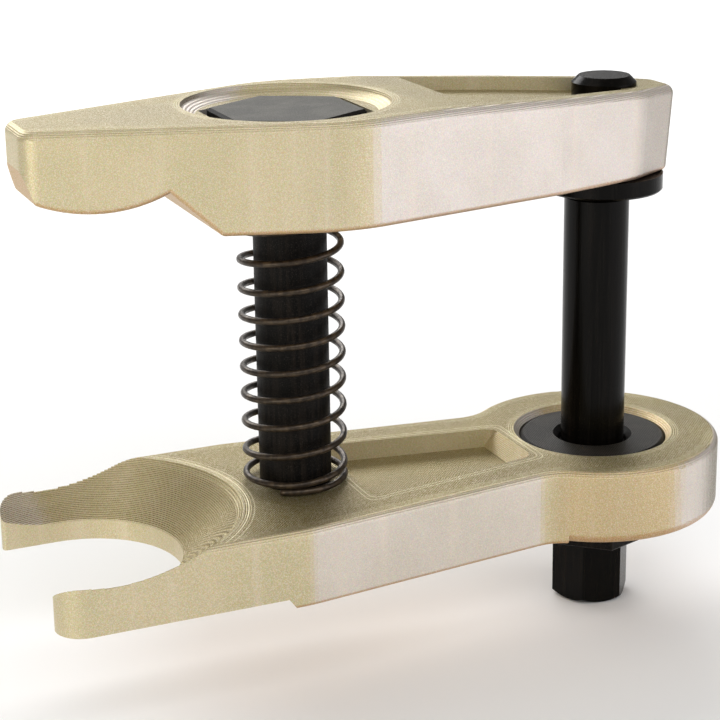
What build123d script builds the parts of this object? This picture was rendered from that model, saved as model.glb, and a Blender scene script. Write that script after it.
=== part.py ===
"""Lever-type ball joint separator: a forked lower jaw, a rocking upper arm and a pressing spindle.

The frame stands on the spindle: the origin is the centre of the drive hexagon's end face,
+Z runs up the spindle, and the fork points along -X. Millimetres throughout.
"""

import os
from math import cos, pi, radians, sin, tan

from build123d import *

# Heights above the drive hexagon's end face
JAW_TOP = 55.4
JAW_BOTTOM = JAW_TOP - 23.5
FORK_BOTTOM = JAW_TOP - 20.1
ARM_BOTTOM = JAW_TOP + 84.0
ARM_TOP = ARM_BOTTOM + 30.4
PIN_TOP = ARM_TOP - 0.6
PIVOT_HEIGHT = ARM_BOTTOM + 12.0

# Lower jaw, from above
FULCRUM_X = -101.5
FORK_X = -168.5
FORK_TIP_X = -184.6
FORK_HALF_WIDTH = 39.0
FORK_SHOULDER_X = -112.0
TAPER_HALF_WIDTH = 24.7
HEAD_RADIUS = 39.6
WAIST_BLEND = 14.0
SHOULDER_BLEND = 30.0
SLOT_RADIUS = 29.5
CONE_TOP_RADIUS = 47.6
CONE_DEPTH = 14.0
CONE_TERRACES = 36
FORK_STEP_X = -119.0
FORK_STEP_RUN = 2.5
JAW_TOP_ROUNDING = 2.2
JAW_BOTTOM_ROUNDING = 1.4
TIP_OUTER_ROUNDING = 8.2
TIP_INNER_ROUNDING = 1.2
NOSED_END_CENTRE_X = -12.0
NOSED_END_PROFILE = ((6.0, 0.0), (3.4, 0.9), (2.3, 2.6), (1.0, 7.4), (0.0, 14.0))
HEAD_BOTTOM_ROUNDING = 3.6

# Weight-saving pocket in the jaw's top face
POCKET_LEFT_X = -85.5
POCKET_RIGHT_X = -28.5
POCKET_LEFT_HALF = 22.8
POCKET_RIGHT_HALF = 13.6
POCKET_DEPTH = 6.0
POCKET_CORNER = 4.5
POCKET_END_RUN = 3.0

# Upper arm, from above
NOSE_X = -181.0
NOSE_HALF_WIDTH = 10.5
ARM_CORNER_X = -97.0
ARM_CORNER_HALF = 38.2
ARM_BEND_RADIUS = 45.0
ARM_NECK = (-26.0, 24.8)
ARM_TAIL = (4.0, 17.0)
ARM_TAIL_HIGH = (6.0, 16.48)
ARM_END = (20.5, 7.5)
ARM_END_HIGH = (24.0, 6.1)
ARM_TAIL_RADIUS = 24.0
ARM_END_RADIUS = 5.0
NOSE_CORNER_ROUNDING = 6.0
ARM_TOP_ROUNDING = 2.8
ARM_BOTTOM_ROUNDING = 1.6

# Upper arm, from the side
SLOPE_START_X = -67.5
SLOPE = 0.0486
NOSE_LOW_X = -163.0
NOSE_BOTTOM = ARM_BOTTOM + 7.3
NOSE_ARC_RADIUS = 40.0
NOSE_HEEL_RADIUS = 9.0
NOTCH_X = -143.5
SLANT_END_X = -130.5

# Dished seat round the bolt head
DISH_RADIUS = 30.2
DISH_LIP = 1.2
DISH_STEP_RADIUS = 28.6
SEAT_RADIUS = 26.2
SEAT_SHELF_DEPTH = 3.0
SEAT_ACROSS_FLATS = 44.6
SEAT_GAP = 0.3

# Pocket in the arm's top face
ARM_POCKET_X = -56.0
ARM_POCKET_RIM = 5.4
ARM_POCKET_DEPTH = 4.0

# Fulcrum bolt and rocker washer
BOLT_RADIUS = 10.75
HEAD_ACROSS_FLATS = 40.0
HEAD_BOTTOM = PIVOT_HEIGHT + 5.5
HEAD_TOP = ARM_TOP - 2.0
HEAD_CHAMFER = 0.8
BOLT_HOLE_CLEARANCE = 0.05
ARM_HOLE_HALF_LENGTH = 13.6
ARM_HOLE_HALF_WIDTH = 11.5
ROCKER_RADIUS = 20.5
ROCKER_ANGLE = 9.0
RIDGE_RADIUS = 3.0

# Opening spring
SPRING_OUTSIDE_RADIUS = 15.7
SPRING_WIRE = 2.0
SPRING_PITCH = 8.55
SPRING_POCKET_RADIUS = 17.0
SPRING_POCKET_DEPTH = 2.6

# Spindle and its bush
SHAFT_RADIUS = 10.0
SHAFT_TOP = ARM_BOTTOM - 6.7
THREAD_RADIUS = 10.95
THREAD_TOP = JAW_TOP - 3.0
RUNNING_CLEARANCE = 0.05
DRIVE_ACROSS_FLATS = 22.0
DRIVE_TOP = 21.5
DRIVE_CHAMFER = 1.3
DRIVE_TWIST = -9.4
BUSH_TOP = JAW_TOP - 1.2
BUSH_RADIUS = 23.0
BUSH_FLANGE = 8.0
BUSH_BODY_RADIUS = 19.0
BUSH_BOTTOM = JAW_TOP - 32.6
BUSH_COUNTERSINK_RADIUS = 12.5
BUSH_COUNTERSINK_DEPTH = 1.8
BUSH_CHAMFER = 1.0
BORE_CHAMFER = 1.7
BORE_GAP = 0.3
LOCK_NUT_ACROSS_FLATS = 40.0
LOCK_NUT_TWIST = 17.6

# Thrust pad and ball at the spindle's end
BALL_RADIUS = 6.0
BALL_TOP = ARM_BOTTOM - 2.0
PIN_X = 1.7
PAD_GAP = 0.3
PAD_RADIUS = 18.6
PAD_BOTTOM = ARM_BOTTOM - 5.4
PAD_TOP = ARM_BOTTOM - 0.1
PAD_RECESS_RADIUS = 11.0
PIN_RADIUS = 9.85
PIN_CHAMFER = 2.0
PIN_BORE_RADIUS = 9.92
RING_GROOVE_Z = ARM_BOTTOM + 12.0
RING_WIRE = 1.6
RING_SLACK = 0.03

# Worked out from the above
JAW_THICKNESS = JAW_TOP - JAW_BOTTOM
BALL_CENTRE = BALL_TOP - BALL_RADIUS
SEAT_Z = PIVOT_HEIGHT - SEAT_GAP
SPRING_RADIUS = SPRING_OUTSIDE_RADIUS - SPRING_WIRE / 2


def block(x0, x1, y0, y1, z0, z1):
    """A box between two corners."""
    centre = ((x0 + x1) / 2, (y0 + y1) / 2, (z0 + z1) / 2)
    return Pos(*centre) * Box(x1 - x0, y1 - y0, z1 - z0)


def disc(radius, z0, z1, x=0.0):
    """An upright cylinder between two heights."""
    return Pos(x, 0, (z0 + z1) / 2) * Cylinder(radius, z1 - z0)


def hexagon(across_flats, z0, z1, twist=0.0, x=0.0):
    """An upright hexagonal prism with a corner along +X before its twist."""
    outline = Rot(0, 0, twist) * RegularPolygon(across_flats / 2, 6, major_radius=False)
    return Pos(x, 0, z0) * extrude(outline, z1 - z0)


def turned(points, x=0.0):
    """A solid of revolution about the upright axis at x, from (radius, height) points."""
    half = make_face(Plane.XZ * Polyline(*points, close=True))
    return Pos(x, 0, 0) * revolve(half, Axis.Z)


def side_profile(edges, half_width):
    """An extrusion across the whole width of a closed outline drawn in XZ."""
    return extrude(make_face(edges), half_width, both=True)


def mirrored(points):
    """An outline from its +Y half, run back along -Y."""
    return points + [(x, -y) for x, y in reversed(points)]


def edges_at(part, z, slack=0.01):
    """The edges that lie flat at one height."""
    return [
        e
        for e in part.edges()
        if abs(e.bounding_box().min.Z - z) < slack and abs(e.bounding_box().max.Z - z) < slack
    ]


def upright_edges(part, x0, x1):
    """The vertical edges between two places along the tool."""
    return [
        e
        for e in part.edges()
        if e.bounding_box().size.Z > 5
        and max(e.bounding_box().size.X, e.bounding_box().size.Y) < 0.01
        and x0 < e.center().X < x1
    ]


def trapezoid(x0, half0, x1, half1, corner):
    """A tapered pocket outline with rounded corners."""
    outline = make_face(Polyline((x0, half0), (x1, half1), (x1, -half1), (x0, -half0), close=True))
    return fillet(outline.vertices(), corner)


def make_lower_jaw():
    half = [
        (FORK_TIP_X, FORK_HALF_WIDTH),
        (FORK_SHOULDER_X, FORK_HALF_WIDTH),
        (0.0, TAPER_HALF_WIDTH),
    ]
    outline = make_face(Polyline(*mirrored(half), close=True)) + Circle(HEAD_RADIUS)
    slot = Pos(FORK_X, 0) * Circle(SLOT_RADIUS)
    slot += Pos(FORK_X - 20, 0) * Rectangle(40, 2 * SLOT_RADIUS)
    jaw = Pos(0, 0, JAW_BOTTOM) * extrude(outline - slot, JAW_THICKNESS)
    jaw = fillet(upright_edges(jaw, -HEAD_RADIUS, -5), WAIST_BLEND)
    jaw = fillet(upright_edges(jaw, FORK_SHOULDER_X - 1, FORK_SHOULDER_X + 1), SHOULDER_BLEND)
    tips = upright_edges(jaw, FORK_TIP_X - 1, FORK_TIP_X + 1)
    jaw = fillet([e for e in tips if not is_in_slot(e.center())], TIP_OUTER_ROUNDING)
    for height, rounding in ((JAW_TOP, JAW_TOP_ROUNDING), (JAW_BOTTOM, JAW_BOTTOM_ROUNDING)):
        rim = [e for e in edges_at(jaw, height) if not is_in_slot(e.center())]
        jaw = fillet(rim, rounding)
    tips = upright_edges(jaw, FORK_TIP_X - 1, FORK_TIP_X + 1)
    jaw = fillet([e for e in tips if is_in_slot(e.center())], TIP_INNER_ROUNDING)
    step_run = Polyline(
        (FORK_TIP_X - 10, 0, JAW_BOTTOM - 5),
        (FORK_TIP_X - 10, 0, FORK_BOTTOM),
        (FORK_STEP_X, 0, FORK_BOTTOM),
        (FORK_STEP_X + FORK_STEP_RUN, 0, JAW_BOTTOM),
        (FORK_STEP_X + FORK_STEP_RUN, 0, JAW_BOTTOM - 5),
        close=True,
    )
    jaw -= side_profile(step_run, FORK_HALF_WIDTH + 5)
    jaw -= terraced_dish()
    jaw -= jaw_pocket()
    jaw -= nosed_end()
    bore_radius = BUSH_RADIUS + BORE_GAP
    flange_seat = BUSH_TOP - BUSH_FLANGE
    jaw -= turned(
        [
            (0, JAW_BOTTOM - 1),
            (BUSH_BODY_RADIUS + RUNNING_CLEARANCE, JAW_BOTTOM - 1),
            (BUSH_BODY_RADIUS + RUNNING_CLEARANCE, flange_seat),
            (bore_radius, flange_seat),
            (bore_radius, JAW_TOP - BORE_CHAMFER),
            (bore_radius + BORE_CHAMFER, JAW_TOP),
            (bore_radius + BORE_CHAMFER, JAW_TOP + 1),
            (0, JAW_TOP + 1),
        ]
    )
    jaw -= disc(BOLT_RADIUS + BOLT_HOLE_CLEARANCE, JAW_BOTTOM - 1, JAW_TOP + 1, FULCRUM_X)
    return jaw


def terraced_dish():
    """The conical dish round the fork's slot, cut in narrow level terraces."""
    run = (CONE_TOP_RADIUS - SLOT_RADIUS) / CONE_TERRACES
    rise = CONE_DEPTH / CONE_TERRACES
    floor = JAW_TOP - CONE_DEPTH
    profile = [(0, floor)]
    for step in range(CONE_TERRACES):
        radius = SLOT_RADIUS + (step + 0.25) * run
        profile += [(radius, floor + step * rise), (radius, floor + (step + 1) * rise)]
    profile += [(CONE_TOP_RADIUS, JAW_TOP + 9), (0, JAW_TOP + 9)]
    return turned(profile, FORK_X)


def jaw_pocket():
    """The pocket in the jaw's top face: upright sides, sloping ends."""
    floor_z = JAW_TOP - POCKET_DEPTH
    rim = trapezoid(POCKET_LEFT_X, POCKET_LEFT_HALF, POCKET_RIGHT_X, POCKET_RIGHT_HALF, POCKET_CORNER)
    ends = Polyline(
        (POCKET_LEFT_X + POCKET_END_RUN, 0, floor_z),
        (POCKET_RIGHT_X - POCKET_END_RUN, 0, floor_z),
        (POCKET_RIGHT_X, 0, JAW_TOP),
        (POCKET_RIGHT_X, 0, JAW_TOP + 1),
        (POCKET_LEFT_X, 0, JAW_TOP + 1),
        (POCKET_LEFT_X, 0, JAW_TOP),
        close=True,
    )
    return Pos(0, 0, floor_z) * extrude(rim, POCKET_DEPTH + 1) & side_profile(ends, FORK_HALF_WIDTH)


def rounding_ring(centre_x, profile, beyond_z):
    """A ring outside a profile of upright-axis (radius, height) points joined by two arcs."""
    points = [(radius, 0, z) for radius, z in profile]
    arcs = ThreePointArc(*points[:3])
    if len(points) > 3:
        arcs += ThreePointArc(*points[2:])
    far = HEAD_RADIUS - NOSED_END_CENTRE_X + 9
    rest = Polyline(points[-1], (far, 0, points[-1][2]), (far, 0, beyond_z), (points[0][0], 0, beyond_z), points[0])
    return Pos(centre_x, 0, 0) * revolve(make_face(arcs + rest), Axis.Z)


def nosed_end():
    """What the larger roundings take off the jaw's spindle end; the upper one fades out sideways."""
    reach = HEAD_RADIUS - NOSED_END_CENTRE_X
    upper = rounding_ring(
        NOSED_END_CENTRE_X,
        [(reach - inset, JAW_TOP - drop) for inset, drop in NOSED_END_PROFILE],
        JAW_TOP + 1,
    )
    size = HEAD_BOTTOM_ROUNDING
    half_way = size * (1 - cos(pi / 4))
    lower = rounding_ring(
        0.0,
        [
            (HEAD_RADIUS - size, JAW_BOTTOM),
            (HEAD_RADIUS - half_way, JAW_BOTTOM + half_way),
            (HEAD_RADIUS, JAW_BOTTOM + size),
        ],
        JAW_BOTTOM - 1,
    )
    lower &= block(-25, 60, -60, 60, JAW_BOTTOM - 2, JAW_TOP)
    upper &= block(-10, 60, -60, 60, JAW_BOTTOM, JAW_TOP + 2)
    return upper + lower


def is_in_slot(point):
    """True for a point on the fork's inner wall."""
    if point.X > FORK_X:
        return (point.X - FORK_X) ** 2 + point.Y**2 < (SLOT_RADIUS + 1) ** 2
    return abs(point.Y) < SLOT_RADIUS + 1


def nose_cut():
    """What is missing under the nose: its round toe, the notch and the slant to the underside."""
    arc_centre = NOSE_BOTTOM + NOSE_ARC_RADIUS
    toe_x = NOSE_X + 3.0
    rise = (NOSE_ARC_RADIUS**2 - (NOTCH_X - NOSE_LOW_X) ** 2) ** 0.5
    notch_z = arc_centre - rise
    toe_z = arc_centre - (NOSE_ARC_RADIUS**2 - (toe_x - NOSE_LOW_X) ** 2) ** 0.5
    toe = ThreePointArc((toe_x, 0, toe_z), (NOSE_LOW_X, 0, NOSE_BOTTOM), (NOTCH_X, 0, notch_z))
    heel = Polyline(
        (NOTCH_X, 0, notch_z),
        (SLANT_END_X, 0, ARM_BOTTOM),
        (SLANT_END_X, 0, ARM_BOTTOM - 10),
        (NOSE_X - 20, 0, ARM_BOTTOM - 10),
        (NOSE_X - 20, 0, NOSE_BOTTOM + NOSE_HEEL_RADIUS + 3),
        (NOSE_X, 0, NOSE_BOTTOM + NOSE_HEEL_RADIUS + 3),
        (toe_x, 0, toe_z),
    )
    return side_profile(toe + heel, ARM_CORNER_HALF + 10)


def make_upper_arm():
    height = ARM_TOP - ARM_BOTTOM
    nose = [(NOSE_X, NOSE_HALF_WIDTH), (ARM_CORNER_X, ARM_CORNER_HALF), ARM_NECK]
    low = make_face(Polyline(*mirrored(nose + [ARM_TAIL, ARM_END]), close=True))
    high = make_face(Polyline(*mirrored(nose + [ARM_TAIL_HIGH, ARM_END_HIGH]), close=True))
    arm = loft([Pos(0, 0, ARM_BOTTOM) * low, Pos(0, 0, ARM_BOTTOM + height) * high], ruled=True)
    corners = (
        (ARM_CORNER_X, ARM_BEND_RADIUS),
        (NOSE_X, NOSE_CORNER_ROUNDING),
        ((ARM_TAIL[0] + ARM_TAIL_HIGH[0]) / 2, ARM_TAIL_RADIUS),
        ((ARM_END[0] + ARM_END_HIGH[0]) / 2, ARM_END_RADIUS),
    )
    for x, radius in corners:
        tall = [e for e in arm.edges() if e.bounding_box().size.Z > height - 0.1 and abs(e.center().X - x) < 0.5]
        arm = fillet(tall, radius)
    slope = Polyline(
        (SLOPE_START_X, 0, ARM_TOP),
        (60, 0, ARM_TOP - SLOPE * (60 - SLOPE_START_X)),
        (60, 0, ARM_TOP + 10),
        (SLOPE_START_X, 0, ARM_TOP + 10),
        close=True,
    )
    arm -= side_profile(slope, ARM_CORNER_HALF + 10)
    arm -= nose_cut()
    arm = round_arm(arm)
    arm -= dished_seat()
    arm -= arm_pocket()
    arm -= disc(PIN_BORE_RADIUS, ARM_BOTTOM - 1, ARM_TOP + 1, PIN_X)
    hole = SlotCenterToCenter(2 * (ARM_HOLE_HALF_LENGTH - ARM_HOLE_HALF_WIDTH), 2 * ARM_HOLE_HALF_WIDTH)
    arm -= Pos(FULCRUM_X, 0, ARM_BOTTOM - 1) * extrude(hole, SEAT_Z - ARM_BOTTOM + 2)
    arm -= disc(SPRING_POCKET_RADIUS, ARM_BOTTOM - 1, ARM_BOTTOM + SPRING_POCKET_DEPTH, FULCRUM_X)
    return arm


def round_arm(arm):
    """Softened edges round the arm's top, its underside and the nose."""
    top = arm.faces().filter_by(lambda f: f.normal_at().Z > 0.9).edges()
    arm = fillet([e for e in top if not is_ridge(e)], ARM_TOP_ROUNDING)
    arm = fillet(edges_at(arm, ARM_BOTTOM), ARM_BOTTOM_ROUNDING)
    return fillet([e for e in arm.edges() if is_under_nose(e)], ARM_BOTTOM_ROUNDING)


def is_under_nose(edge):
    """True for the nose's lower edges, apart from the two that run across the arm."""
    box = edge.bounding_box()
    is_low = box.max.Z < ARM_TOP - 12 and box.max.X < SLANT_END_X + 1
    return is_low and box.size.Y < 3 * NOSE_HALF_WIDTH


def is_ridge(edge):
    """True for the crease across the arm where its top starts to slope."""
    box = edge.bounding_box()
    return box.size.X < 0.1 and abs(box.min.X - SLOPE_START_X) < 0.1 and box.size.Y > 20


def dished_seat():
    """The stepped dish round the bolt head, with a hexagonal well for the head and its washer."""
    shelf = ARM_TOP - SEAT_SHELF_DEPTH
    dish = turned(
        [
            (0, shelf),
            (SEAT_RADIUS, shelf),
            (DISH_STEP_RADIUS, ARM_TOP - DISH_LIP - 0.6),
            (DISH_RADIUS - 0.4, ARM_TOP - DISH_LIP),
            (DISH_RADIUS, ARM_TOP),
            (DISH_RADIUS, ARM_TOP + 2),
            (0, ARM_TOP + 2),
        ],
        FULCRUM_X,
    )
    return dish + hexagon(SEAT_ACROSS_FLATS, SEAT_Z, shelf + 1, 30.0, FULCRUM_X)


def arm_pocket():
    """The shallow pocket that follows the arm's taper and ends at the thrust pin."""
    taper = (ARM_CORNER_HALF - ARM_NECK[1]) / (ARM_NECK[0] - ARM_CORNER_X)
    left_half = ARM_NECK[1] + taper * (ARM_NECK[0] - ARM_POCKET_X) - ARM_POCKET_RIM
    right_half = ARM_NECK[1] - ARM_POCKET_RIM
    end_half = ARM_TAIL[1] - ARM_POCKET_RIM
    outline = make_face(
        Polyline(
            *mirrored([(ARM_POCKET_X, left_half), (ARM_NECK[0], right_half), (PIN_X, end_half)]),
            close=True,
        )
    )
    floor = ARM_TOP - SLOPE * (0 - SLOPE_START_X) - ARM_POCKET_DEPTH
    tilt = SLOPE * 180 / pi
    return Pos(0, 0, floor) * Rot(0, tilt, 0) * extrude(outline, 12)


def make_fulcrum_bolt():
    bolt = hexagon(HEAD_ACROSS_FLATS, HEAD_BOTTOM, HEAD_TOP, 30.0, FULCRUM_X)
    bolt = chamfer(edges_at(bolt, HEAD_TOP), HEAD_CHAMFER)
    shank = disc(BOLT_RADIUS, JAW_BOTTOM + 0.5, HEAD_BOTTOM, FULCRUM_X)
    shank = chamfer(edges_at(shank, JAW_BOTTOM + 0.5), 1.5)
    return bolt + shank


def make_rocker_washer():
    """A washer with a rounded ridge across its underside, on which the arm rocks."""
    washer = disc(ROCKER_RADIUS, PIVOT_HEIGHT - 1, HEAD_BOTTOM, FULCRUM_X)
    slope = tan(radians(ROCKER_ANGLE))
    reach = ROCKER_RADIUS + 3
    crest = RIDGE_RADIUS * sin(radians(ROCKER_ANGLE))
    crest_z = PIVOT_HEIGHT + RIDGE_RADIUS * (1 - cos(radians(ROCKER_ANGLE)))
    ridge = ThreePointArc(
        (FULCRUM_X - crest, 0, crest_z),
        (FULCRUM_X, 0, PIVOT_HEIGHT),
        (FULCRUM_X + crest, 0, crest_z),
    )
    below = Polyline(
        (FULCRUM_X + crest, 0, crest_z),
        (FULCRUM_X + reach, 0, crest_z + slope * (reach - crest)),
        (FULCRUM_X + reach, 0, PIVOT_HEIGHT - 5),
        (FULCRUM_X - reach, 0, PIVOT_HEIGHT - 5),
        (FULCRUM_X - reach, 0, crest_z + slope * (reach - crest)),
        (FULCRUM_X - crest, 0, crest_z),
    )
    washer -= side_profile(ridge + below, reach)
    return washer - disc(BOLT_RADIUS + 0.3, PIVOT_HEIGHT - 2, HEAD_BOTTOM + 1, FULCRUM_X)


def make_opening_spring():
    """A right-hand coil between the jaw and the pocket under the arm."""
    bottom = JAW_TOP + SPRING_WIRE / 2 + 0.1
    top = ARM_BOTTOM + SPRING_POCKET_DEPTH - SPRING_WIRE / 2 - 0.3
    path = Helix(pitch=SPRING_PITCH, height=top - bottom, radius=SPRING_RADIUS)
    section = Plane(origin=path @ 0, z_dir=path % 0) * Circle(SPRING_WIRE / 2)
    return Pos(FULCRUM_X, 0, bottom) * sweep(section, path, is_frenet=True)


def make_spindle():
    drive = hexagon(DRIVE_ACROSS_FLATS, 0, DRIVE_TOP, DRIVE_TWIST)
    corner = DRIVE_ACROSS_FLATS / 3**0.5
    rounding = turned(
        [
            (0, 0),
            (DRIVE_ACROSS_FLATS / 2, 0),
            (corner, DRIVE_CHAMFER),
            (corner + 0.2, DRIVE_CHAMFER + 0.2),
            (corner + 0.2, DRIVE_TOP),
            (0, DRIVE_TOP),
        ]
    )
    screw = turned(
        [
            (0, DRIVE_TOP),
            (SHAFT_RADIUS, DRIVE_TOP),
            (THREAD_RADIUS, DRIVE_TOP + 1),
            (THREAD_RADIUS, THREAD_TOP - 1),
            (SHAFT_RADIUS, THREAD_TOP),
            (SHAFT_RADIUS, SHAFT_TOP - 1),
            (SHAFT_RADIUS - 1, SHAFT_TOP),
            (0, SHAFT_TOP),
        ]
    )
    socket = Pos(0, 0, BALL_CENTRE) * Sphere(BALL_RADIUS + RUNNING_CLEARANCE)
    return (drive & rounding) + screw - socket


def make_thrust_ball():
    return Pos(0, 0, BALL_CENTRE) * Sphere(BALL_RADIUS)


def make_thrust_pad():
    """The disc that the ball presses, with its pin standing up through the arm."""
    groove = PIN_RADIUS - RING_WIRE
    recess_top = BALL_TOP + PAD_GAP
    return turned(
        [
            (0, recess_top),
            (PAD_RECESS_RADIUS - 1, recess_top),
            (PAD_RECESS_RADIUS, PAD_BOTTOM),
            (PAD_RADIUS - 0.6, PAD_BOTTOM),
            (PAD_RADIUS, PAD_BOTTOM + 0.6),
            (PAD_RADIUS, PAD_TOP),
            (PIN_RADIUS, PAD_TOP),
            (PIN_RADIUS, RING_GROOVE_Z - RING_WIRE / 2),
            (groove, RING_GROOVE_Z - RING_WIRE / 2),
            (groove, RING_GROOVE_Z + RING_WIRE / 2),
            (PIN_RADIUS, RING_GROOVE_Z + RING_WIRE / 2),
            (PIN_RADIUS, PIN_TOP - PIN_CHAMFER),
            (PIN_RADIUS - PIN_CHAMFER, PIN_TOP),
            (0, PIN_TOP),
        ],
        PIN_X,
    )


def make_pad_o_ring():
    middle = PIN_RADIUS - RING_WIRE / 2
    return Pos(PIN_X, 0, RING_GROOVE_Z) * Torus(middle, RING_WIRE / 2 - RING_SLACK)


def make_spindle_bush():
    bore = THREAD_RADIUS + RUNNING_CLEARANCE
    flange_bottom = BUSH_TOP - BUSH_FLANGE
    return turned(
        [
            (bore, BUSH_BOTTOM + 1),
            (bore + 1, BUSH_BOTTOM),
            (BUSH_BODY_RADIUS - 1, BUSH_BOTTOM),
            (BUSH_BODY_RADIUS, BUSH_BOTTOM + 1),
            (BUSH_BODY_RADIUS, flange_bottom),
            (BUSH_RADIUS, flange_bottom),
            (BUSH_RADIUS, BUSH_TOP - BUSH_CHAMFER),
            (BUSH_RADIUS - BUSH_CHAMFER, BUSH_TOP),
            (BUSH_COUNTERSINK_RADIUS, BUSH_TOP),
            (bore, BUSH_TOP - BUSH_COUNTERSINK_DEPTH),
        ]
    )


def make_bush_lock_nut():
    nut = hexagon(LOCK_NUT_ACROSS_FLATS, BUSH_BOTTOM - 0.2, JAW_BOTTOM, LOCK_NUT_TWIST)
    nut = chamfer(edges_at(nut, BUSH_BOTTOM - 0.2), 0.6)
    return nut - disc(BUSH_BODY_RADIUS + 0.02, BUSH_BOTTOM - 1, JAW_BOTTOM + 1)


PARTS = {
    "lower_jaw": make_lower_jaw,
    "upper_arm": make_upper_arm,
    "fulcrum_bolt": make_fulcrum_bolt,
    "rocker_washer": make_rocker_washer,
    "opening_spring": make_opening_spring,
    "spindle": make_spindle,
    "thrust_ball": make_thrust_ball,
    "thrust_pad": make_thrust_pad,
    "pad_o_ring": make_pad_o_ring,
    "spindle_bush": make_spindle_bush,
    "bush_lock_nut": make_bush_lock_nut,
}

os.makedirs("parts", exist_ok=True)
for name, make in PARTS.items():
    export_step(make(), f"parts/{name}.step")
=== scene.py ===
from math import cos, radians, sin, sqrt, tau

import bpy
import bmesh
from mathutils import Matrix, Vector


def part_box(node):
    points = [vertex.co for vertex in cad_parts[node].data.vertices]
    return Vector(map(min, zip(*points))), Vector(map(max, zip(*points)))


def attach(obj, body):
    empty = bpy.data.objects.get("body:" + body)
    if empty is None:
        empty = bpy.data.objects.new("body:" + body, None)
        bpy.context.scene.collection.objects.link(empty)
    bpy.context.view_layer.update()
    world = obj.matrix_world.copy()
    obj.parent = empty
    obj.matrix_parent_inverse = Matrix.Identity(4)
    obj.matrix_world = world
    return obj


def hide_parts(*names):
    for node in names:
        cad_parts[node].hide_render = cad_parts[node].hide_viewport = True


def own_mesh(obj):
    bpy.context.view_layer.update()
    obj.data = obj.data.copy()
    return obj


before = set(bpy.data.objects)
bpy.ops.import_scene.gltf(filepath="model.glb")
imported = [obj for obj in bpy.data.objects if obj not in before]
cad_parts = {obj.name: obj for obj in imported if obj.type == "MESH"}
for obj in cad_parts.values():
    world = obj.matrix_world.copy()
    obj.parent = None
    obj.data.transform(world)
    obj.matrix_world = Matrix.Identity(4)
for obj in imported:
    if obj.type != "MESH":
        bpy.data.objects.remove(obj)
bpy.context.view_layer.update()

MM = 0.001

# Places read from the frame
jaw_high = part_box("lower_jaw")[1]
bush_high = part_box("spindle_bush")[1]
arm_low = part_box("upper_arm")[0]
spindle_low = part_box("spindle")[0]
bolt_low, bolt_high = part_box("fulcrum_bolt")
spring_low, spring_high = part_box("opening_spring")
FULCRUM_X = (bolt_low.x + bolt_high.x) / 2
JAW_TOP = jaw_high.z
BUSH_RADIUS = bush_high.x
HEAD_RADIUS = jaw_high.x


# ---------------------------------------------------------------- node helpers
class Nodes:
    """A small writer for one material's node tree."""

    def __init__(self, name):
        self.material = bpy.data.materials.new(name)
        self.material.use_nodes = True
        self.tree = self.material.node_tree
        self.tree.nodes.clear()
        self.output = self.tree.nodes.new("ShaderNodeOutputMaterial")
        self.shader = self.tree.nodes.new("ShaderNodeBsdfPrincipled")
        self.tree.links.new(self.shader.outputs[0], self.output.inputs[0])
        self.place = self.add("ShaderNodeTexCoord").outputs["Object"]
        self.geometry = self.add("ShaderNodeNewGeometry")

    def add(self, kind, **settings):
        node = self.tree.nodes.new(kind)
        for key, value in settings.items():
            setattr(node, key, value)
        return node

    def put(self, socket, value):
        """Links a socket, or sets it to a plain value."""
        if isinstance(value, bpy.types.NodeSocket):
            self.tree.links.new(value, socket)
        elif value is not None:
            socket.default_value = value

    def math(self, operation, a, b=None, c=None, clamp=False):
        node = self.add("ShaderNodeMath", operation=operation, use_clamp=clamp)
        for socket, value in zip(node.inputs, (a, b, c)):
            self.put(socket, value)
        return node.outputs[0]

    def split(self, vector):
        node = self.add("ShaderNodeSeparateXYZ")
        self.put(node.inputs[0], vector)
        return node.outputs

    def ramp(self, value, low, high, out_low=0.0, out_high=1.0, smooth=True):
        """Runs from out_low to out_high as the value goes from low to high."""
        node = self.add("ShaderNodeMapRange", interpolation_type="SMOOTHSTEP" if smooth else "LINEAR")
        for socket, number in zip(node.inputs, (value, low, high, out_low, out_high)):
            self.put(socket, number)
        return node.outputs[0]

    def noise(self, scale, detail=2.0, roughness=0.5, stretch=None, colour=False):
        vector = self.place
        if stretch:
            mapping = self.add("ShaderNodeMapping")
            self.put(mapping.inputs["Vector"], self.place)
            mapping.inputs["Scale"].default_value = stretch
            vector = mapping.outputs[0]
        node = self.add("ShaderNodeTexNoise")
        self.put(node.inputs["Vector"], vector)
        node.inputs["Scale"].default_value = scale
        node.inputs["Detail"].default_value = detail
        node.inputs["Roughness"].default_value = roughness
        return node.outputs["Color" if colour else "Fac"]

    def mix(self, factor, a, b, blend="MIX"):
        node = self.add("ShaderNodeMix", data_type="RGBA", blend_type=blend)
        self.put(node.inputs["Factor"], factor)
        self.put(node.inputs[6], a)
        self.put(node.inputs[7], b)
        return node.outputs[2]

    def bump(self, height, distance, strength=1.0, under=None):
        node = self.add("ShaderNodeBump")
        self.put(node.inputs["Height"], height)
        node.inputs["Distance"].default_value = distance
        node.inputs["Strength"].default_value = strength
        self.put(node.inputs["Normal"], under)
        return node.outputs[0]

    def line(self, value, middle, width):
        """1 on a line where the value equals middle, fading to 0 a width away."""
        away = self.math("ABSOLUTE", self.math("SUBTRACT", value, middle))
        return self.ramp(away, 0.0, width, 1.0, 0.0)

    def stripes(self, value, pitch, sharpness=0.5):
        """Rounded ridges along a value, from 0 to 1, a pitch apart."""
        wave = self.math("SINE", self.math("MULTIPLY", value, tau / pitch))
        return self.math("MULTIPLY_ADD", wave, sharpness, 0.5)

    def surface(self, **values):
        for name, value in values.items():
            self.put(self.shader.inputs[name.replace("_", " ")], value)


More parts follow.
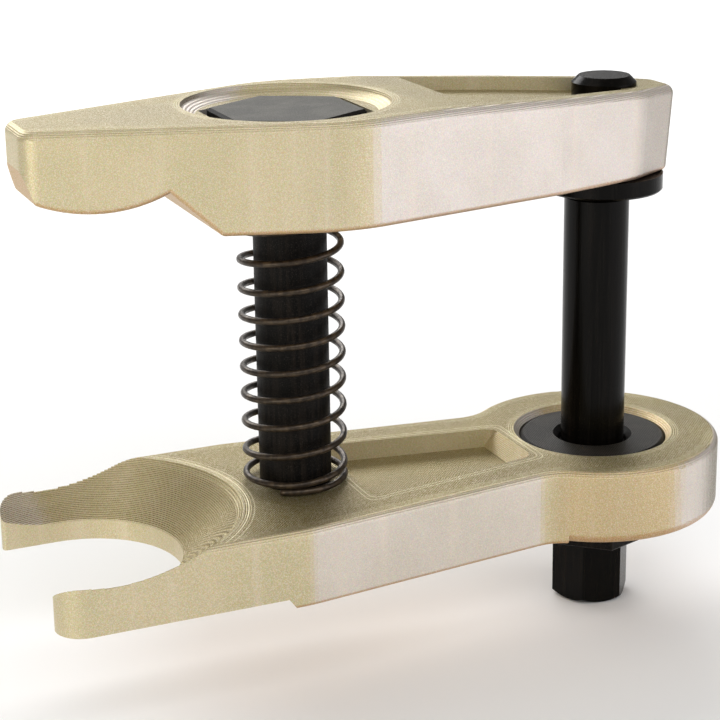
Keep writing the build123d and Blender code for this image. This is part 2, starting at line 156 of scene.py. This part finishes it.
def rgb(red, green, blue):
    """A colour as the eye reads it, 0 to 255, in the renderer's linear values."""
    shares = [value / 255 for value in (red, green, blue)]
    linear = [((c + 0.055) / 1.055) ** 2.4 if c > 10 / 255 else c / 12.92 for c in shares]
    return (*linear, 1.0)


# ---------------------------------------------------------------- materials
LINE_PITCH = 0.68 * MM
LAYER = 0.5 * MM
EDGE_BAND_OUT = 3.6 * LINE_PITCH
EDGE_BAND_IN = 3.0 * LINE_PITCH
RING_LINE = 0.3 * MM
DOT_SPACING = 1.5 * MM
DOT_ROW = 0.35 * MM
# Where the painted tan reflection on the head's walls begins and where it is full.
HEAD_REFLECTION_START = -34 * MM
HEAD_REFLECTION_FULL = -24 * MM


def jaw_finish(name, outline, rings):
    """Champagne satin metal: grained walls, level faces laid in fine diagonal lines inside edge lines.
    Painted reflections and painted shade are mixed into the colour by the way each face points.

    outline and rings take the node writer and the x and y sockets, and give the distance in from the
    nearest edge and the distance from the nearest double ring.
    """
    n = Nodes(name)
    x, y, z = n.split(n.place)
    normal = n.split(n.geometry.outputs["True Normal"])
    up = n.ramp(normal[2], 0.93, 0.99)
    leaning = n.math("MULTIPLY", n.ramp(normal[2], 0.12, 0.3), n.ramp(normal[2], 0.99, 0.93))
    # Mask for the painted reflection on faces turned downwards.
    underside_reflection = n.ramp(normal[2], -0.02, -0.35)

    depth = outline(n, x, y)
    near_edge = n.ramp(depth, EDGE_BAND_OUT, EDGE_BAND_IN)
    edge_lines = n.stripes(depth, LINE_PITCH)
    diagonal = n.math("MULTIPLY", n.math("SUBTRACT", y, x), 1 / sqrt(2))
    raster = n.stripes(diagonal, LINE_PITCH)
    laid = n.math("ADD", n.math("MULTIPLY", edge_lines, near_edge),
                  n.math("MULTIPLY", raster, n.math("SUBTRACT", 1.0, near_edge)))
    laid = n.math("MULTIPLY", laid, up)
    layers = n.math("MULTIPLY", n.stripes(z, LAYER), leaning)
    ring = n.math("MULTIPLY", n.line(rings(n, x, y), 0.0, RING_LINE), up)
    rim = n.math("MULTIPLY", n.math("MULTIPLY", edge_lines, near_edge), up)

    grain = n.noise(3600.0, 2.0, 0.6)
    speckle = n.noise(2400.0, 1.0, 0.5, colour=True)
    patches = n.noise(45.0, 3.0, 0.55)
    streaks = n.noise(160.0, 2.0, 0.5, stretch=(1.0, 1.0, 0.04))

    # Painted shade: level faces get a darker khaki than the walls, varied in random patches.
    level = n.mix(n.ramp(patches, 0.35, 0.65), rgb(142, 128, 66), rgb(130, 116, 60))
    warm = n.mix(n.ramp(patches, 0.35, 0.68), rgb(194, 182, 142), rgb(202, 188, 150))
    # Painted reflection: walls turned towards +X take a pale silver-pink in place of the warm champagne,
    # standing in for the key light's reflection.
    reflection_silver = n.mix(n.ramp(patches, 0.35, 0.68), rgb(206, 198, 190), rgb(214, 206, 200))
    reflection_facing_head = n.ramp(normal[0], 0.02, 0.17)
    walls = n.mix(reflection_facing_head, warm, reflection_silver)
    # Painted reflection: walls on the head, below the jaw's top and not turned towards +X, get a yellow
    # tan.
    on_head = n.ramp(x, HEAD_REFLECTION_START, HEAD_REFLECTION_FULL)
    on_jaw = n.ramp(z, JAW_TOP + 4 * MM, JAW_TOP + 2 * MM)
    head_reflection_tan = n.math("MULTIPLY", on_head, on_jaw)
    walls = n.mix(n.math("MULTIPLY", head_reflection_tan, n.ramp(normal[0], 0.34, 0.08)), walls, rgb(194, 172, 126))
    walls = n.mix(n.ramp(streaks, 0.5, 0.8, 0.0, 0.3), walls, rgb(228, 214, 196))
    # Painted shade: walls facing +Y get a darker greenish colour.
    far_side_shade = n.ramp(normal[1], 0.3, 0.7)
    walls = n.mix(n.math("MULTIPLY", far_side_shade, 0.6), walls, rgb(168, 168, 106))
    # Painted shade: walls turned well towards +X are darkened.
    walls = n.mix(n.math("MULTIPLY", n.ramp(normal[0], 0.42, 0.72), 0.85), walls, rgb(112, 104, 86))
    # Level faces take their painted-shade khaki; the walls keep their painted reflections and shade.
    tone = n.mix(up, walls, level)
    tone = n.mix(n.math("MULTIPLY", laid, 0.68), tone, rgb(92, 78, 38))
    tone = n.mix(n.math("MULTIPLY", rim, 0.3), tone, rgb(214, 204, 168))
    tone = n.mix(n.math("MULTIPLY", ring, 0.6), tone, rgb(222, 212, 178))
    tone = n.mix(n.math("MULTIPLY", layers, 0.3), tone, rgb(140, 122, 80))
    # Painted reflection: faces turned downwards get an orange-brown, the warm floor's reflection.
    tone = n.mix(n.math("MULTIPLY", underside_reflection, 0.6), tone, rgb(184, 132, 66))
    tone = n.mix(0.5, tone, speckle, "SOFT_LIGHT")
    tone = n.mix(n.ramp(grain, 0.4, 0.75, 0.0, 0.5), tone, rgb(240, 230, 216))

    relief = n.bump(laid, 0.12 * MM, 0.9)
    relief = n.bump(layers, 0.12 * MM, 0.7, relief)
    relief = n.bump(grain, 0.07 * MM, 0.6, relief)
    n.surface(Base_Color=tone, Normal=relief, Roughness=n.ramp(grain, 0.3, 0.7, 0.56, 0.42))
    n.surface(Metallic=0.72)
    n.shader.inputs["Specular IOR Level"].default_value = 0.5
    return n.material


def radius_from(n, x, y, centre_x):
    off = n.math("SUBTRACT", x, centre_x)
    return n.math("SQRT", n.math("ADD", n.math("MULTIPLY", off, off), n.math("MULTIPLY", y, y)))


def half_plane(n, x, y, start, end):
    """How far a point lies inside the straight edge from start to end, with the outline mirrored in y."""
    run = (end[0] - start[0], end[1] - start[1])
    length = sqrt(run[0] ** 2 + run[1] ** 2)
    along = n.math("MULTIPLY", n.math("SUBTRACT", x, start[0]), run[1] / length)
    across = n.math("MULTIPLY", n.math("SUBTRACT", n.math("ABSOLUTE", y), start[1]), run[0] / length)
    return n.math("SUBTRACT", along, across)


FORK_X = -168.5 * MM
DISH_RING_OUT = 2.2 * MM
DISH_RING_HALF_GAP = 0.8 * MM
POCKET_RING_OUT = 2.4 * MM
POCKET_RING_HALF_GAP = 0.7 * MM
POCKET_RING_CORNER = 5 * MM
SIDE_BLEND = 4 * MM
WAIST_BLEND = 9 * MM
BORE_EDGE = 2.0 * MM
DISH_OUTER = 47.6 * MM
FORK_HALF = 39.0 * MM
SHOULDER_X = -112.0 * MM
TAPER_HALF = 24.7 * MM
JAW_ROUNDING = 2.2 * MM
POCKET_MIDDLE = -57.0 * MM
POCKET_HALF_LENGTH = 28.5 * MM
POCKET_LEFT_HALF = 22.8 * MM
POCKET_RIGHT_HALF = 13.6 * MM


def jaw_outline(n, x, y):
    """Distance in from the jaw's edges, its dish and the bush's bore."""
    side = n.math("SUBTRACT", FORK_HALF, n.math("ABSOLUTE", y))
    taper = half_plane(n, x, y, (SHOULDER_X, FORK_HALF), (0.0, TAPER_HALF))
    body = n.math("SMOOTH_MIN", side, taper, SIDE_BLEND)
    centre = radius_from(n, x, y, 0.0)
    head = n.math("SUBTRACT", HEAD_RADIUS, centre)
    rim = n.math("SUBTRACT", n.math("SMOOTH_MAX", body, head, WAIST_BLEND), JAW_ROUNDING)
    dish = n.math("SUBTRACT", radius_from(n, x, y, FORK_X), DISH_OUTER)
    bore = n.math("SUBTRACT", centre, BUSH_RADIUS + BORE_EDGE)
    nearest = n.math("MINIMUM", rim, n.math("MINIMUM", n.math("ABSOLUTE", dish), bore))
    return nearest


def jaw_rings(n, x, y):
    """Distance from the two pale rings outside the dish and the two round the pocket."""
    dish = n.math("SUBTRACT", radius_from(n, x, y, FORK_X), DISH_OUTER + DISH_RING_OUT)
    double = n.math("ABSOLUTE", n.math("SUBTRACT", n.math("ABSOLUTE", dish), DISH_RING_HALF_GAP))
    along = n.math("SUBTRACT", x, POCKET_MIDDLE)
    over_x = n.math("SUBTRACT", n.math("ABSOLUTE", along), POCKET_HALF_LENGTH)
    slope = (POCKET_LEFT_HALF - POCKET_RIGHT_HALF) / (2 * POCKET_HALF_LENGTH)
    half = n.math("MULTIPLY_ADD", along, -slope,
                  (POCKET_LEFT_HALF + POCKET_RIGHT_HALF) / 2)
    over_y = n.math("SUBTRACT", n.math("ABSOLUTE", y), half)
    outside = n.math("SMOOTH_MAX", over_x, over_y, POCKET_RING_CORNER)
    pocket = n.math("SUBTRACT", outside, POCKET_RING_OUT)
    off_pair = n.math("SUBTRACT", n.math("ABSOLUTE", pocket), POCKET_RING_HALF_GAP)
    round_pocket = n.math("ABSOLUTE", off_pair)
    return n.math("MINIMUM", double, round_pocket)


def no_rings(n, x, y):
    """The arm has no double rings."""
    return n.math("ADD", n.math("ABSOLUTE", x), 1.0)


ARM_NOSE_X = arm_low.x
ARM_NOSE_HALF = 10.5 * MM
ARM_CORNER = (-97.0 * MM, 38.2 * MM)
ARM_NECK = (-26.0 * MM, 24.8 * MM)
ARM_END = (20.5 * MM, 11.0 * MM)
ARM_ROUNDING = 2.8 * MM
ARM_DISH_RADIUS = 30.2 * MM


def arm_outline(n, x, y):
    """Distance in from the arm's edges and from the dish round the bolt head."""
    left = half_plane(n, x, y, (ARM_NOSE_X, ARM_NOSE_HALF), ARM_CORNER)
    right = half_plane(n, x, y, ARM_CORNER, ARM_NECK)
    tail = half_plane(n, x, y, ARM_NECK, ARM_END)
    rim = n.math("MINIMUM", left, n.math("MINIMUM", right, tail))
    rim = n.math("SUBTRACT", rim, ARM_ROUNDING)
    dish = n.math("SUBTRACT", radius_from(n, x, y, FULCRUM_X), ARM_DISH_RADIUS)
    return n.math("MINIMUM", rim, n.math("ABSOLUTE", dish))


def blackened(name, colour, painted_sheen, roughness, raster=0.0, dotted=()):
    """Black oxide steel: fine grain, lines across its level faces, rows of dots at the given radii. Its
    level faces get a painted sheen, a lighter grey than the near-black sides.
    """
    n = Nodes(name)
    x, y, _ = n.split(n.place)
    normal = n.split(n.geometry.outputs["True Normal"])
    up = n.ramp(n.math("ABSOLUTE", normal[2]), 0.9, 0.99)
    grain = n.noise(3000.0, 2.0, 0.6)
    sheen_patches = n.noise(90.0, 3.0, 0.6)
    streaks = n.noise(700.0, 2.0, 0.6, stretch=(1.0, 1.0, 0.06))
    side = n.mix(n.ramp(streaks, 0.4, 0.7), rgb(6, 5, 4), rgb(26, 21, 17))
    # Painted sheen: level faces take a lighter grey, varied in random patches, against the near-black
    # sides.
    level = n.mix(n.ramp(sheen_patches, 0.4, 0.7), colour, painted_sheen)
    tone = n.mix(up, side, level)
    tone = n.mix(n.ramp(grain, 0.5, 0.8, 0.0, 0.22), tone, rgb(96, 90, 82))
    relief = n.bump(grain, 0.05 * MM, 0.6)
    if raster:
        diagonal = n.math("MULTIPLY", n.math("SUBTRACT", y, x), 1 / sqrt(2))
        lines = n.math("MULTIPLY", n.stripes(diagonal, LINE_PITCH), up)
        tone = n.mix(n.math("MULTIPLY", lines, raster), tone, rgb(12, 11, 9))
        relief = n.bump(lines, 0.08 * MM, 0.7, relief)
    for radius in dotted:
        reach = radius_from(n, x, y, 0.0)
        turn = n.math("MULTIPLY", n.math("ARCTAN2", y, x), radius)
        dots = n.ramp(n.stripes(turn, DOT_SPACING), 0.45, 0.7)
        row = n.math("MULTIPLY", n.math("MULTIPLY", n.line(reach, radius, DOT_ROW), dots), up)
        tone = n.mix(n.math("MULTIPLY", row, 0.9), tone, rgb(3, 3, 3))
    n.surface(Base_Color=tone, Normal=relief)
    n.surface(Roughness=n.ramp(grain, 0.3, 0.7, roughness + 0.08, roughness - 0.05))
    n.shader.inputs["Specular IOR Level"].default_value = 0.1
    return n.material


def glossy_black(name):
    """The spindle's finish: near black, glossy, with fine streaks along its length."""
    n = Nodes(name)
    streaks = n.noise(900.0, 2.0, 0.6, stretch=(1.0, 1.0, 0.04))
    broad = n.noise(220.0, 2.0, 0.5, stretch=(1.0, 1.0, 0.02))
    grain = n.noise(2600.0, 2.0, 0.6)
    tone = n.mix(n.ramp(streaks, 0.35, 0.75), rgb(4, 3, 2), rgb(13, 11, 8))
    tone = n.mix(n.ramp(broad, 0.5, 0.75, 0.0, 0.5), tone, rgb(26, 21, 17))
    relief = n.bump(streaks, 0.06 * MM, 0.7)
    relief = n.bump(grain, 0.04 * MM, 0.6, relief)
    n.surface(Base_Color=tone, Normal=relief, Roughness=n.ramp(streaks, 0.3, 0.7, 0.26, 0.16))
    n.shader.inputs["Specular IOR Level"].default_value = 0.09
    return n.material


def spring_steel(name):
    n = Nodes(name)
    drawn = n.noise(500.0, 3.0, 0.6)
    grain = n.noise(3500.0, 2.0, 0.6)
    tone = n.mix(n.ramp(drawn, 0.35, 0.7), rgb(42, 34, 26), rgb(74, 62, 48))
    relief = n.bump(grain, 0.03 * MM, 0.5)
    n.surface(Base_Color=tone, Normal=relief, Roughness=n.ramp(drawn, 0.3, 0.7, 0.42, 0.28))
    n.surface(Metallic=0.6)
    return n.material


def bright_steel(name):
    n = Nodes(name)
    marks = n.noise(700.0, 3.0, 0.6)
    tone = n.mix(n.ramp(marks, 0.3, 0.7), rgb(178, 178, 180), rgb(206, 206, 208))
    n.surface(Base_Color=tone, Roughness=n.ramp(marks, 0.3, 0.7, 0.16, 0.1))
    n.surface(Metallic=1.0)
    return n.material


def ring_rubber(name):
    n = Nodes(name)
    dust = n.noise(1500.0, 2.0, 0.6)
    tone = n.mix(n.ramp(dust, 0.4, 0.8), rgb(24, 24, 24), rgb(44, 43, 42))
    n.surface(Base_Color=tone, Normal=n.bump(dust, 0.02 * MM, 0.5))
    n.surface(Roughness=n.ramp(dust, 0.3, 0.7, 0.75, 0.6))
    return n.material


def floor_finish(name):
    n = Nodes(name)
    cloud = n.noise(1.5, 2.0, 0.5)
    n.surface(Base_Color=n.mix(cloud, rgb(246, 246, 246), rgb(250, 250, 250)), Roughness=0.9)
    return n.material


# ---------------------------------------------------------------- pieces
WIRE_SIDES = 20
DOME_SHARE = 0.8


def wire(name, points, radius, sides=WIRE_SIDES):
    """A round wire swept along points, with domed ends."""
    mesh = bmesh.new()
    count = len(points)
    tangents = []
    for i in range(count):
        step = points[min(i + 1, count - 1)] - points[max(i - 1, 0)]
        tangents.append(step.normalized())
    rings = []
    across = tangents[0].orthogonal().normalized()
    for point, tangent in zip(points, tangents):
        across = (across - tangent * across.dot(tangent)).normalized()
        other = tangent.cross(across)
        rings.append([mesh.verts.new(point + (across * cos(a) + other * sin(a)) * radius)
                      for a in (tau * k / sides for k in range(sides))])
    for low, high in zip(rings, rings[1:]):
        for k in range(sides):
            mesh.faces.new((low[k], low[(k + 1) % sides], high[(k + 1) % sides], high[k]))
    ends = (
        (rings[0], points[0], -tangents[0], -1),
        (rings[-1], points[-1], tangents[-1], 1),
    )
    for ring, point, tangent, turn in ends:
        inner = []
        for vertex in ring:
            drawn_in = (vertex.co - point) * DOME_SHARE
            inner.append(mesh.verts.new(point + drawn_in + tangent * radius * (1 - DOME_SHARE)))
        for k in range(sides):
            quad = (ring[k], ring[(k + 1) % sides], inner[(k + 1) % sides], inner[k])
            mesh.faces.new(quad if turn > 0 else quad[::-1])
        mesh.faces.new(inner if turn > 0 else inner[::-1])
    data = bpy.data.meshes.new(name)
    mesh.to_mesh(data)
    mesh.free()
    for polygon in data.polygons:
        polygon.use_smooth = True
    piece = bpy.data.objects.new(name, data)
    bpy.context.scene.collection.objects.link(piece)
    return piece


SPRING_WIRE = 2.0 * MM
SPRING_TURNS = 9.35
CLOSED_TURNS = 1.05
SPRING_START = radians(232)
SPRING_END_TUCK = 0.4 * MM
SPRING_STEPS = 64
SPRING_PITCH_EASE = 0.012
CLOSED_PITCH = 1.06


def opening_spring():
    """The right-hand opening spring, with a closed turn at each end."""
    radius = (spring_high.x - spring_low.x) / 2 - SPRING_WIRE / 2
    low = spring_low.z + SPRING_WIRE / 2
    high = spring_high.z - SPRING_WIRE / 2
    turns = SPRING_TURNS + 2 * CLOSED_TURNS
    closed_rise = CLOSED_TURNS * SPRING_WIRE * CLOSED_PITCH
    points = []
    for i in range(int(turns * SPRING_STEPS) + 1):
        turn = i / SPRING_STEPS
        if turn < CLOSED_TURNS:
            rise = closed_rise * turn / CLOSED_TURNS
        elif turn > turns - CLOSED_TURNS:
            rise = high - low - closed_rise * (turns - turn) / CLOSED_TURNS
        else:
            share = (turn - CLOSED_TURNS) / SPRING_TURNS
            eased = share + SPRING_PITCH_EASE * sin(tau * share)
            rise = closed_rise + (high - low - 2 * closed_rise) * eased
        angle = SPRING_START + tau * turn
        tuck = SPRING_END_TUCK * max(0.0, 1 - (turns - turn) / CLOSED_TURNS)
        reach = radius - tuck
        points.append(Vector((FULCRUM_X + reach * cos(angle), reach * sin(angle), low + rise)))
    return wire("coil_spring", points, SPRING_WIRE / 2)


FLOOR_SIZE = 8.0
FLOOR_GAP = 0.0005


def stage_floor():
    bpy.ops.mesh.primitive_grid_add(x_subdivisions=2, y_subdivisions=2, size=FLOOR_SIZE)
    floor = bpy.context.object
    floor.name = "studio_floor"
    floor.location.z = min(spindle_low.z, 0.0) - FLOOR_GAP
    floor.data.materials.append(floor_finish("studio_floor_paint"))
    return floor


# ---------------------------------------------------------------- light and camera
def area_light(name, place, aim, width, height, power, colour):
    data = bpy.data.lights.new(name, "AREA")
    data.shape = "RECTANGLE"
    data.size = width
    data.size_y = height
    data.energy = power
    data.color = colour
    light = bpy.data.objects.new(name, data)
    bpy.context.scene.collection.objects.link(light)
    light.location = place
    light.visible_camera = False
    light.rotation_mode = "QUATERNION"
    light.rotation_quaternion = (Vector(aim) - Vector(place)).to_track_quat("-Z", "Y")
    return light


MIDDLE = (-0.075, 0.0, 0.09)
# Name, place, aim, width and height in metres, power in watts, colour
LIGHTS = (
    ("key_light", (0.68, -0.78, 0.20), MIDDLE, 0.7, 0.7, 3.3, (0.98, 0.95, 1.0)),
    ("left_light", (-0.95, -0.55, 0.30), MIDDLE, 0.6, 0.6, 3.4, (1.0, 0.96, 0.86)),
    ("top_light", (-0.1, 0.25, 1.05), MIDDLE, 0.8, 0.6, 1.0, (1.0, 0.98, 0.92)),
    ("floor_light", (-0.1, 1.9, 1.2), (-0.1, 1.5, 0.0), 2.6, 1.2, 52.0, (1.0, 1.0, 1.0)),
    ("front_floor_light", (-0.1, -1.2, 1.2), (-0.1, -0.2, 0.0), 1.6, 1.0, 11.0, (0.97, 0.98, 1.0)),
)
AIR_COLOUR = (1.0, 0.99, 0.97, 1.0)
AIR_STRENGTH = 0.30


def studio():
    bpy.context.scene.view_settings.view_transform = "Standard"
    world = bpy.data.worlds.new("studio_air")
    world.use_nodes = True
    background = world.node_tree.nodes["Background"]
    background.inputs["Color"].default_value = AIR_COLOUR
    background.inputs["Strength"].default_value = AIR_STRENGTH
    bpy.context.scene.world = world
    for light in LIGHTS:
        area_light(*light)


CAMERA_PLACE = (-0.2964, -0.5150, 0.2706)
CAMERA_AZIMUTH = radians(-22.815)
CAMERA_ELEVATION = radians(16.271)
CAMERA_ROLL = radians(-0.862)
CAMERA_LENS = 98.05
CAMERA_SHIFT = -0.08


def camera():
    data = bpy.data.cameras.new("photo_camera")
    data.lens = CAMERA_LENS
    data.sensor_width = 36.0
    data.shift_y = CAMERA_SHIFT
    data.clip_start = 0.01
    data.clip_end = 50.0
    view = bpy.data.objects.new("photo_camera", data)
    bpy.context.scene.collection.objects.link(view)
    back = Vector((
        sin(CAMERA_AZIMUTH) * cos(CAMERA_ELEVATION),
        -cos(CAMERA_AZIMUTH) * cos(CAMERA_ELEVATION),
        sin(CAMERA_ELEVATION),
    ))
    level = Vector((cos(CAMERA_AZIMUTH), sin(CAMERA_AZIMUTH), 0.0))
    upright = back.cross(level)
    right = level * cos(CAMERA_ROLL) + upright * sin(CAMERA_ROLL)
    up = upright * cos(CAMERA_ROLL) - level * sin(CAMERA_ROLL)
    turn = Matrix((right, up, back)).transposed()
    view.matrix_world = Matrix.Translation(CAMERA_PLACE) @ turn.to_4x4()
    bpy.context.scene.camera = view


def paint(node, material):
    """Gives a CAD node its finish."""
    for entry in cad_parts[node].material_slots:
        entry.material = material


def build():
    jaw = jaw_finish("jaw_satin_lower", jaw_outline, jaw_rings)
    arm = jaw_finish("jaw_satin_upper", arm_outline, no_rings)
    # The two greys given to each blackened finish are the painted sheen on its level faces.
    bolt = blackened("blackened_bolt_steel", rgb(78, 76, 69), rgb(94, 91, 83), 0.5, 0.5)
    dotted = (BUSH_RADIUS * 0.9, 13.2 * MM)
    bush = blackened("blackened_bush_steel", rgb(40, 37, 32), rgb(54, 50, 44), 0.45, 0.3, dotted)
    spindle = glossy_black("spindle_black")
    paint("lower_jaw", jaw)
    paint("upper_arm", arm)
    for node in ("fulcrum_bolt", "rocker_washer"):
        paint(node, bolt)
    for node in ("spindle_bush", "bush_lock_nut"):
        paint(node, bush)
    for node in ("spindle", "thrust_pad"):
        paint(node, spindle)
    paint("thrust_ball", bright_steel("ball_steel"))
    paint("pad_o_ring", ring_rubber("ring_rubber"))

    spring = opening_spring()
    spring.data.materials.append(spring_steel("spring_steel"))
    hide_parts("opening_spring")
    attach(spring, "jaw")
    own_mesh(spring)


camera()
studio()
stage_floor()
build()
